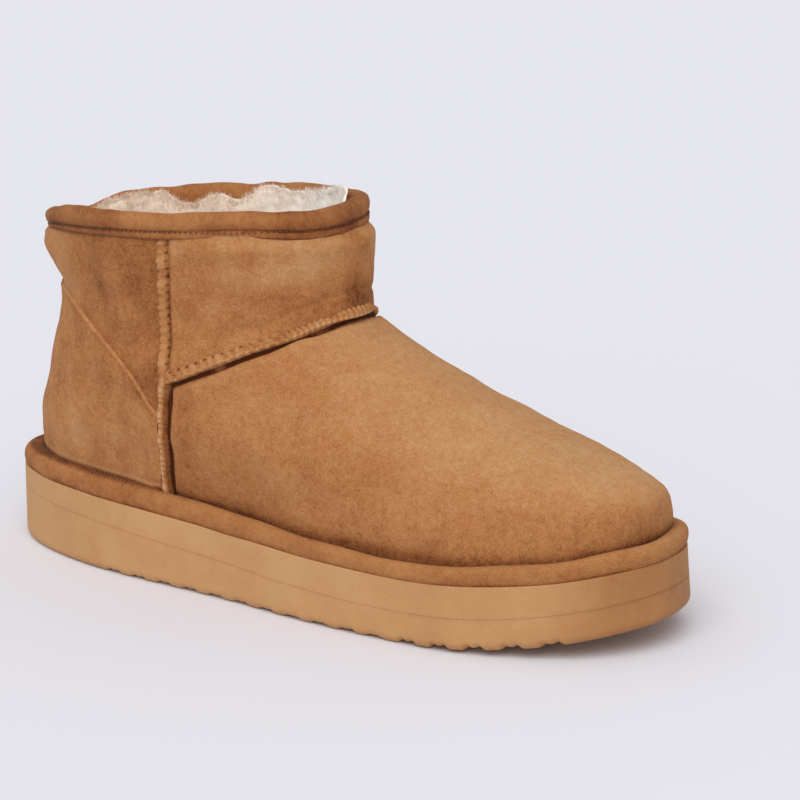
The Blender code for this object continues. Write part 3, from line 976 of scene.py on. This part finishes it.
BAND_PITCH = 0.0028
BEAD_PITCH = 0.0023
INSTEP_PITCH, FRONT_PITCH = 0.0036, 0.0021
SIDE_HIGH = (  # across from the groove towards the toe, out from the panel
    (-0.0048, -0.0010), (-0.0041, 0.0003), (-0.0034, 0.0008), (-0.0022, 0.0009),
    (-0.0011, 0.0007), (-0.0005, 0.0003), (0.0000, -0.0003), (0.0004, -0.0006),
    (0.0011, -0.0010),
)
SIDE_LOW = (
    (-0.0048, -0.0010), (-0.0038, 0.0003), (-0.0028, 0.0007), (-0.0021, 0.0014),
    (-0.0013, 0.0016), (-0.0006, 0.0006), (-0.0002, -0.0006), (0.0002, -0.0020),
    (0.0014, -0.0026),
)
INSTEP = (  # up from the crease, out from the panel
    (-0.0012, -0.0022), (0.0000, -0.0019), (0.0004, -0.0010), (0.0006, 0.0002),
    (0.0010, 0.0010), (0.0020, 0.0010), (0.0032, 0.0008), (0.0042, 0.0005), (0.0050, -0.0001),
    (0.0056, -0.0008),
)
SECTION_POINTS = 40


def stitch_dots(along, across, place, pitch, start, reach):
    """Small round marks of height 1 in a row along a seam, at a place across it."""
    off = (along / pitch + start + 0.5) % 1.0 - 0.5
    return bump_at(off * pitch, 0, reach) * bump_at(across, place, reach)


def sewn_strip(name, turn, height, across, out, toe_way, finish):
    """A strip swept along a path on the upper; finish gives its relief and tone from its places."""
    path, normal, _ = bare(turn, height)
    along_way = unit(np.gradient(path, axis=0))
    across_way = unit(np.cross(normal, along_way)) * toe_way
    lumps, tone = finish(distances(path)[:, None], across, out, path)
    out = out + lumps + slack(path)[:, None]
    across = across + ripple(path, 0.014, 33)[:, None] * 0.00016
    points = path[:, None] + across_way[:, None] * across[..., None] + normal[:, None] * out[..., None]
    sheet(name, points, suede, "upper", tone)


def side_seam(name, inner):
    height = np.linspace(PANEL_FOOT + 0.0022, TOPLINE_HEIGHT - BINDING_LEG, 380)
    low = (1 - ease(0.068, 0.080, height))[:, None]
    high_line, low_line = (smooth_line(marks, SECTION_POINTS) for marks in (SIDE_HIGH, SIDE_LOW))
    line = high_line[None] + (low_line - high_line)[None] * low[..., None]
    curl = ease(0.0410, 0.0335, height)
    turn = turn_at(side_station(height), height, inner)
    shape = line[..., 1] + 0.0006 * curl[:, None] * bump_at(line[..., 0], -0.0022, 0.0014)
    across = line[..., 0] + 0.0020 * curl[:, None] * bump_at(line[..., 0], -0.0020, 0.0024)
    shape = shape - 0.0012 * ease(0.0095, 0.0068, TOPLINE_HEIGHT - height)[:, None]

    def finish(along, across, out, path):
        rough = ripple(path, 0.007, 35)[:, None]
        rib = 0.5 + 0.5 * np.cos(math.tau * (along + 0.35 * across) / BEAD_PITCH + rough * 1.2)
        bead = bump_at(line[..., 0], -0.0017, 0.0011) * low
        band = ease(-0.0046, -0.0036, across) * ease(-0.0002, -0.0010, across) * (1 - low)
        pillow = 0.5 + 0.5 * np.cos(math.tau * along / BAND_PITCH + rough * 0.5)
        behind = stitch_dots(along, across, -0.0037, BAND_PITCH, 0.5, 0.00045)
        before = stitch_dots(along, across, -0.0003, BAND_PITCH, 0.0, 0.00048)
        dots = (behind + before) * (1 - low)
        lumps = bead * (rib - 0.6) * 0.00065 + band * (pillow - 0.5) * 0.00022 - dots * 0.00020
        lumps = lumps + rough * 0.00022 * np.clip(1 + out / 0.0010, 0, 1)
        slit = ease(0.118, 0.098, height)[:, None] * (1 - low)
        # Painted light and shade: painted shade deep in the groove, where the strip sinks, at the groove's
        # edge, along the band's back edge, in the slit and in the stitch holes; painted light on the band's
        # pillows and, with the pale thread, on the bead's ribs.
        tone = (
            (0.10 * rough - 0.80) * ease(-0.0011, -0.0021, out) * low - 0.16 * ease(-0.0004, -0.0010, out)
            + 0.06 * band * pillow + bead * (0.46 * rib + 0.06) - 0.34 * dots
            - 0.30 * low * bump_at(line[..., 0], -0.0004, 0.0004) + 0.05 * rough
            - 0.14 * bump_at(line[..., 0], -0.0044, 0.0004) * (1 - low)
            - (0.06 + 0.26 * slit) * (1 - low) * bump_at(across, 0.0002, 0.00045)
        )
        return lumps - 0.0003 * slit * bump_at(across, 0.0002, 0.0005), tone

    sewn_strip(name, turn, height, across, shape, 1.0 if inner else -1.0, finish)


def instep_seam():
    share = np.linspace(-1, 1, 640)
    turn, height = along_seam(share, INSTEP_SIDE, np.full_like(share, 0.085), lambda seam: seam, 8)
    front = (np.cos(turn) ** 4)[:, None]
    line = smooth_line(INSTEP, SECTION_POINTS)
    pitch = INSTEP_PITCH + (FRONT_PITCH - INSTEP_PITCH) * ease(0.62, 0.38, np.abs(share))
    across = line[None, :, 0] * (1 - 0.20 * front)
    out = line[None, :, 1] * np.ones_like(across)

    def finish(along, across, out, path):
        rough = ripple(path, 0.009, 37)[:, None]
        along = running(np.diff(along[:, 0]) / pitch[1:])[:, None] * INSTEP_PITCH
        pillow = 0.5 + 0.5 * np.cos(math.tau * (along + 0.30 * across) / INSTEP_PITCH + rough * 0.6)
        band = ease(0.0002, 0.0009, across) * ease(0.0052, 0.0040, across)
        threads = stitch_dots(along, across, 0.0010, INSTEP_PITCH, 0.5, 0.00060)
        holes = stitch_dots(along, across, 0.0041, INSTEP_PITCH, 0.0, 0.00050)
        lumps = band * (pillow - 0.5) * 0.00060 * (1 - 0.5 * front) + threads * 0.00012 - holes * 0.00030
        # Painted light and shade: painted shade in the crease, at the band's top edge and in the stitch
        # holes, and painted light and shade over the quilted pillows; the thread dots are pale.
        tone = (
            (0.12 * rough - 0.66) * ease(0.0001, -0.0012, out) * ease(0.0025, 0.0015, across)
            + band * (0.16 * pillow - 0.07) + 0.42 * threads - 0.60 * holes + 0.04 * rough
            - 0.16 * bump_at(across, 0.0051, 0.0005)
        )
        return lumps + rough * 0.00018 * band, tone

    sewn_strip("instep_seam", turn, height, across, out, 1.0, finish)


side_seam("lateral_side_seam", False)
side_seam("medial_side_seam", True)
instep_seam()


# ------------------------------
# Collar binding. The same tape folded over the rim round a soft filling, and stitched through a
# little above its lower edge. Inside it turns down behind the fleece.

BINDING = (  # up from the rim, out from the upper's outer face
    (-0.0072, -0.0006), (-0.0071, 0.0003), (-0.0062, 0.0007), (-0.0053, 0.0008),
    (-0.0046, 0.0004), (-0.0039, 0.0009), (-0.0024, 0.0013), (-0.0008, 0.0012),
    (0.0006, 0.0004), (0.0012, -0.0012), (0.0010, -0.0028), (-0.0002, -0.0044),
    (-0.0024, -0.0052), (-0.0060, -0.0056), (-0.0095, -0.0054), (-0.0110, -0.0044),
)
BINDING_ROW = -0.0046
ROLL_PLACE, ROLL_RISE = 245.0, 0.0016  # the roll is fuller at the outer side of the heel
BINDING_PITCH = 0.0021
BINDING_AROUND = 700
BINDING_POINTS = 64
THREAD_SHADES = ((0.085, 0.026, 0.008), (0.170, 0.060, 0.020))
CINCH_FRONT, CINCH_BACK = 0.0014, 0.0028  # the tape pulls the rim in at its ends

collar_tape = tape_finish("collar_tape", math.radians(62))


def pulled_in(turn):
    return CINCH_FRONT * at_front(turn) + CINCH_BACK * at_back(turn)


def collar_binding():
    turn = even_turns(BINDING_AROUND)
    rise, out = smooth_line(BINDING, BINDING_POINTS).T[..., None]
    outer = ease(-0.0020, 0.0, out)
    rim = upper_surface(turn, TOPLINE_HEIGHT)
    thick = 1 + ripple(rim, 0.030, 43) * 0.07
    full = np.clip((rise + 0.0044) / 0.0040, 0, 1)
    fuller = ROLL_RISE * bump_at(np.degrees(turn), ROLL_PLACE, 17.0)
    out = out * np.where(out > 0, thick, 1.0) - pulled_in(turn)
    points = upper_point(turn, TOPLINE_HEIGHT + rise, out)
    points[..., 2] += ripple(rim, 0.042, 41) * 0.00030 + full * (ripple(rim, 0.011, 45) * 0.00015 + fuller)
    # Painted light and shade: a painted highlight along the roll, painted shade in the stitch groove, at the
    # flange's lower edge and round the front where the tape turns from the light, and the inner turn painted
    # a little lighter against its shade; darker round the back.
    tone = (
        0.10 * bump_at(rise, -0.0010, 0.0022) * outer - 0.18 * bump_at(rise, BINDING_ROW, 0.0006) * outer
        - 0.20 * bump_at(rise, -0.0071, 0.0004) * outer + 0.02 * (1 - outer)
        + 0.03 * ripple(rim, 0.020, 49) - 0.24 * at_front(turn)
        - 0.24 * ease(0.05, -0.35, np.cos(turn)) * outer - 0.04
    )
    tape_ring("collar_tape", points, collar_tape, "collar_binding", tone)


def thread_finish():
    material, tree, shader = blank("waxed_thread", Roughness=0.7)
    place = add(tree, "TexCoord").outputs["Object"]
    twist = grain(tree, place, 0.0006, 2.0, 0.3, 0.7)
    tree.links.new(shades(tree, twist, THREAD_SHADES), shader.inputs["Base Color"])
    relief(tree, shader, twist, 0.5, 0.0002)
    return material


def stitches(name, turn, height, out, length, radius):
    """A row of short threads round the collar, each dipping into the tape at both ends."""
    path, normal = upper_point(turn, height, out), upper_normal(turn, height)
    along = distances(path)
    centres = np.arange(BINDING_PITCH / 2, along[-1], BINDING_PITCH)
    steps, sides = 7, 6
    t = np.linspace(-0.5, 0.5, steps)
    places = centres[:, None] + t * length

    def between(values):
        return np.stack([np.interp(places, along, value) for value in values.T], -1)

    out = unit(between(normal))
    line = between(path) + out * (radius * (1.3 - 9.0 * t**2 * 1.1))[:, None]
    beside = np.cross(out, unit(np.gradient(line, axis=1)))
    angle = even_turns(sides)[:, None]
    swell = radius * np.sqrt(np.clip(1.05 - (2 * t) ** 2, 0.05, 1))[:, None, None]
    hoop = beside[:, :, None] * np.cos(angle) + out[:, :, None] * np.sin(angle)
    points = line[:, :, None] + hoop * swell
    piece(name, points, repeated(quads(steps, sides, ring=True), points), thread, "collar_binding")


def repeated(faces, points):
    """One part's faces for each of many parts, whose points follow one another."""
    count, size = len(points), points[0].size // 3
    return (faces + np.arange(count)[:, None, None] * size).reshape(-1, 4)


thread = thread_finish()
collar_binding()
row = np.linspace(0, math.tau, 2400)
stitches("collar_stitches", row, TOPLINE_HEIGHT + BINDING_ROW, 0.0006 - pulled_in(row), 0.0015, 0.00026)


# ------------------------------
# Fleece. The inside of the sheepskin: a dense cream pile that curls into small locks. It lines the
# whole shoe, covers the footbed, and at the collar it stands up in front of the tape's inner turn.

INSOLE_THICKNESS = 0.0060
FLEECE_SHADES = (  # from painted shade in the depth of the pile to its bright tips
    (0.450, 0.320, 0.210), (0.680, 0.510, 0.380), (0.860, 0.690, 0.550), (0.940, 0.820, 0.710),
    (0.980, 0.940, 0.890),
)
FLEECE_TOP = (  # turn round the collar in degrees, how far the fleece rises over the topline
    (0, -0.0025), (12, -0.0020), (20, 0.0012), (28, 0.0028), (40, 0.0027), (50, 0.0023),
    (60, 0.0009), (70, -0.0009), (80, -0.0013), (85, -0.0002), (88, 0.0012), (90, 0.0008),
    (92, 0.0000), (94.5, -0.0032), (98.5, -0.0048), (102.5, -0.0032), (105.5, -0.0021),
    (108, -0.0034), (110.5, -0.0046), (114.5, -0.0061), (119, -0.0045), (123.5, -0.0008),
    (126.5, 0.0008), (128.5, -0.0016), (130.5, 0.0008), (134, -0.0003), (143, -0.0010),
    (148, -0.0004), (156, -0.0008), (175, -0.0015), (200, -0.0026), (340, -0.0026),
)
FLEECE_BLUR = 0.8
FLEECE_GRAINS = (
    (0.08, 0, (0.0070, 3.0, 0.32, 0.68)),
    (0.12, 1, (0.0022, 4.0, 0.28, 0.72)),
    (0.10, 1, (0.0006, 3.0, 0.25, 0.75)),
)
FOOTBED_TONE = -0.10
COLLAR_STRANDS, WALL_STRANDS = 26000, 18000
COLLAR_DEPTH = 0.028  # how far down the opening the combed-up pile reaches


def fleece_finish(name, depth):
    """Wool pile: pale tips over a warmer depth, in locks and fine curls."""
    return matt_finish(
        name,
        depth,
        FLEECE_SHADES,
        FLEECE_GRAINS,
        0.30,
        0.0003,
        Roughness=1.0,
        Specular_IOR_Level=0.08,
        Sheen_Weight=0.90,
        Sheen_Tint=(1.0, 0.91, 0.83, 1.0),
    )


fleece = fleece_finish("curled_fleece", 0.72)


def wall_at(height):
    return WALL - (WALL - RIM_WALL) * ease(SHEAR_START, SHEAR_END, height)


def billow(points, size, seed):
    """Rounded lumps that meet in creases, from 0 to about 1."""
    return np.clip(np.abs(ripple(points, size, seed)), 0, 1.6) / 1.6


def fleece_top(turn):
    """How far the fleece rises over the topline: it is combed up into uneven waves."""
    wave = blurred(FLEECE_TOP, np.degrees(turn), FLEECE_BLUR, 360)
    return wave + 0.00022 * np.sin(turn * 57) + 0.00018 * np.sin(turn * 91 + 1.0)


def fleece_tone(turn, below):
    """Painted light towards the front of the opening, and warmer painted shade just under the edge and down
    inside.
    """
    front = ease(-0.5, 0.8, np.cos(turn))
    edge = 0.06 * bump_at(below, 0.0, 0.0020) * (1 - front)
    return 0.52 * front - 0.16 - edge - 0.16 * ease(0.012, 0.045, below)


def drawn_in(turn, below):
    """The lining follows the rim where the tape pulls it in."""
    return pulled_in(turn) * ease(0.030, 0.004, below)


def lining():
    turn = even_turns(360)
    rim = TOPLINE_HEIGHT + fleece_top(turn)
    foot = HEEL_STACK + 0.0030
    share = 1 - (1 - np.linspace(0, 1, 100)[:, None]) ** 1.4
    height = foot + (rim - foot) * share
    points = upper_point(turn, height, -wall_at(height))
    lumps = 0.0008 + ripple(points, 0.0080, 51) * 0.0002 + ripple(points, 0.0034, 53) * 0.0001
    below = rim - height
    top = np.sqrt(np.clip(below / 0.0030, 0, 1))
    out = -wall_at(height) - 0.0022 - (0.0010 + lumps) * top - drawn_in(turn, below)
    points = upper_point(turn, height, out)
    # The lining's tone is painted light and shade, with its raised lumps painted a little lighter.
    tone = fleece_tone(turn, below) + 0.04 * (lumps / 0.0008 - 1)
    sheet("fleece_lining", points, fleece, "upper", tone, ring=True, flip=True)


def footbed():
    edge = foot_point(even_turns(300), -WALL - 0.0006, INSOLE_THICKNESS - 0.0010)
    points, share = spanned(edge, 60)
    swell = 0.0014 * ease(0, 0.12, np.minimum(share, 1 - share))
    points[..., 2] += swell + billow(points, 0.0100, 61) * 0.0022
    points[..., 2] += billow(points, 0.0045, 63) * 0.0008
    sheet("fleece_footbed", points, fleece, "insole", FOOTBED_TONE, flip=True)


def strands(name, roots, normals, rise, tone, length, width, curl, seed):
    """Fine ribbons of pile that curl together in locks, two steps each."""
    dice = np.random.default_rng(seed)
    count, steps = len(roots), 3
    lean = np.stack([ripple(roots, 0.0065, seed + axis) for axis in (1, 2, 3)], -1) * 0.30
    lean = lean + dice.normal(size=(count, 3)) * 0.20
    way = unit(normals + lean + (0, 0, rise))
    phase = ripple(roots, 0.0030, seed + 4) * 2.5 + dice.uniform(-0.8, 0.8, count)
    side = unit(np.cross(way, dice.normal(size=(count, 3))))
    reach = (length * dice.uniform(0.65, 1.15, count))[:, None, None]
    t = np.linspace(0, 1, steps)[:, None]
    angle = phase[:, None, None] + t * curl
    ring = side[:, None] * np.cos(angle) + np.cross(way, side)[:, None] * np.sin(angle)
    line = roots[:, None] + way[:, None] * (reach * t) + ring * (reach * 0.26 * t)
    flat = unit(np.cross(way, unit(normals) + dice.normal(size=(count, 3)) * 0.25))
    flat = flat[:, None] * (width * (1 - 0.55 * t))
    points = np.stack((line - flat / 2, line + flat / 2), 2)
    from_root = np.array((-0.04, 0.0, 0.06))[:, None]
    tone = tone[:, None, None] + from_root + dice.normal(size=(count, 1, 1)) * 0.04
    piece(name, points, repeated(quads(steps, 2), points), pile, "upper", tone)


pile = fleece_finish("fleece_pile", 0.80)
lining()
footbed()
dice = np.random.default_rng(71)
turn = dice.uniform(0, math.tau, COLLAR_STRANDS)
below = COLLAR_DEPTH * dice.uniform(0, 1, COLLAR_STRANDS) ** 1.9
height = TOPLINE_HEIGHT + fleece_top(turn) - 0.0008 - below
roots = upper_point(turn, height, -wall_at(height) - 0.0038 - drawn_in(turn, below))
inward = -0.25 * upper_normal(turn, height)
shade = fleece_tone(turn, below)
strands("collar_pile", roots, inward, 1.1, shade, length=0.0022, width=0.00014, curl=1.4, seed=81)
turn = dice.uniform(0, math.tau, WALL_STRANDS)
height = HEEL_STACK + 0.006 + dice.uniform(0, 1, WALL_STRANDS) * (TOPLINE_HEIGHT - 0.034 - HEEL_STACK)
roots = upper_point(turn, height, -wall_at(height) - 0.0025)
inward = -upper_normal(turn, height)
shade = np.full(WALL_STRANDS, -0.22)
strands("wall_pile", roots, inward, 0.2, shade, length=0.0040, width=0.00040, curl=3.5, seed=91)


# ------------------------------
# Floor, lights and camera.

FLOOR_TONE = (0.800, 0.800, 0.857, 1.0)
FLOOR_REACH = 9.0
HEEL_TO_AIM = 0.1628
AIM_HEIGHT = 0.069
AZIMUTH, ELEVATION = math.radians(34.0), math.radians(13.83)
DISTANCE = 0.999
LENS = 130.0


def stage_floor():
    mesh = bpy.data.meshes.new("floor")
    outline = [(x * FLOOR_REACH, y * FLOOR_REACH, 0) for x, y in ((-1, -1), (1, -1), (1, 1), (-1, 1))]
    mesh.from_pydata(outline, [], [(0, 1, 2, 3)])
    settings = {"Base_Color": FLOOR_TONE, "Specular_IOR_Level": 0.1, "Roughness": 0.9}
    mesh.materials.append(blank("pale_floor", **settings)[0])
    placed("floor", mesh)


def lamp(name, power, spread, way):
    """A soft distant lamp that shines from a way towards the shoe."""
    light = bpy.data.lights.new(name, "SUN")
    light.energy = power
    light.angle = math.radians(spread)
    placed(name, light).rotation_euler = Vector(way).to_track_quat("Z", "Y").to_euler()


stage_floor()
world = bpy.data.worlds.new("studio")
world.use_nodes = True
background = world.node_tree.nodes["Background"]
background.inputs["Color"].default_value = (1.0, 1.0, 1.0, 1.0)
background.inputs["Strength"].default_value = 0.60
bpy.context.scene.world = world
right = Vector((math.cos(AZIMUTH), math.sin(AZIMUTH), 0.0))
towards = Vector((math.sin(AZIMUTH), -math.cos(AZIMUTH), 0.0))
up = Vector((0.0, 0.0, 1.0))
lamp("key", 1.42, 50, up * 1.0 - right * 0.15 + towards * 0.75)
lamp("fill", 0.30, 60, up * 0.4 - right * 0.30 + towards * 1.0)

camera = bpy.data.cameras.new("camera")
camera.lens = LENS
camera.sensor_width = 36.0
camera.clip_end = 50.0
eye = placed("camera", camera)
aim = Vector((HEEL_TO_AIM - LENGTH / 2, 0.0, AIM_HEIGHT))
eye.location = aim + DISTANCE * (towards * math.cos(ELEVATION) + up * math.sin(ELEVATION))
eye.rotation_euler = (eye.location - aim).to_track_quat("Z", "Y").to_euler()
bpy.context.scene.camera = eye
bpy.context.scene.view_settings.view_transform = "Standard"
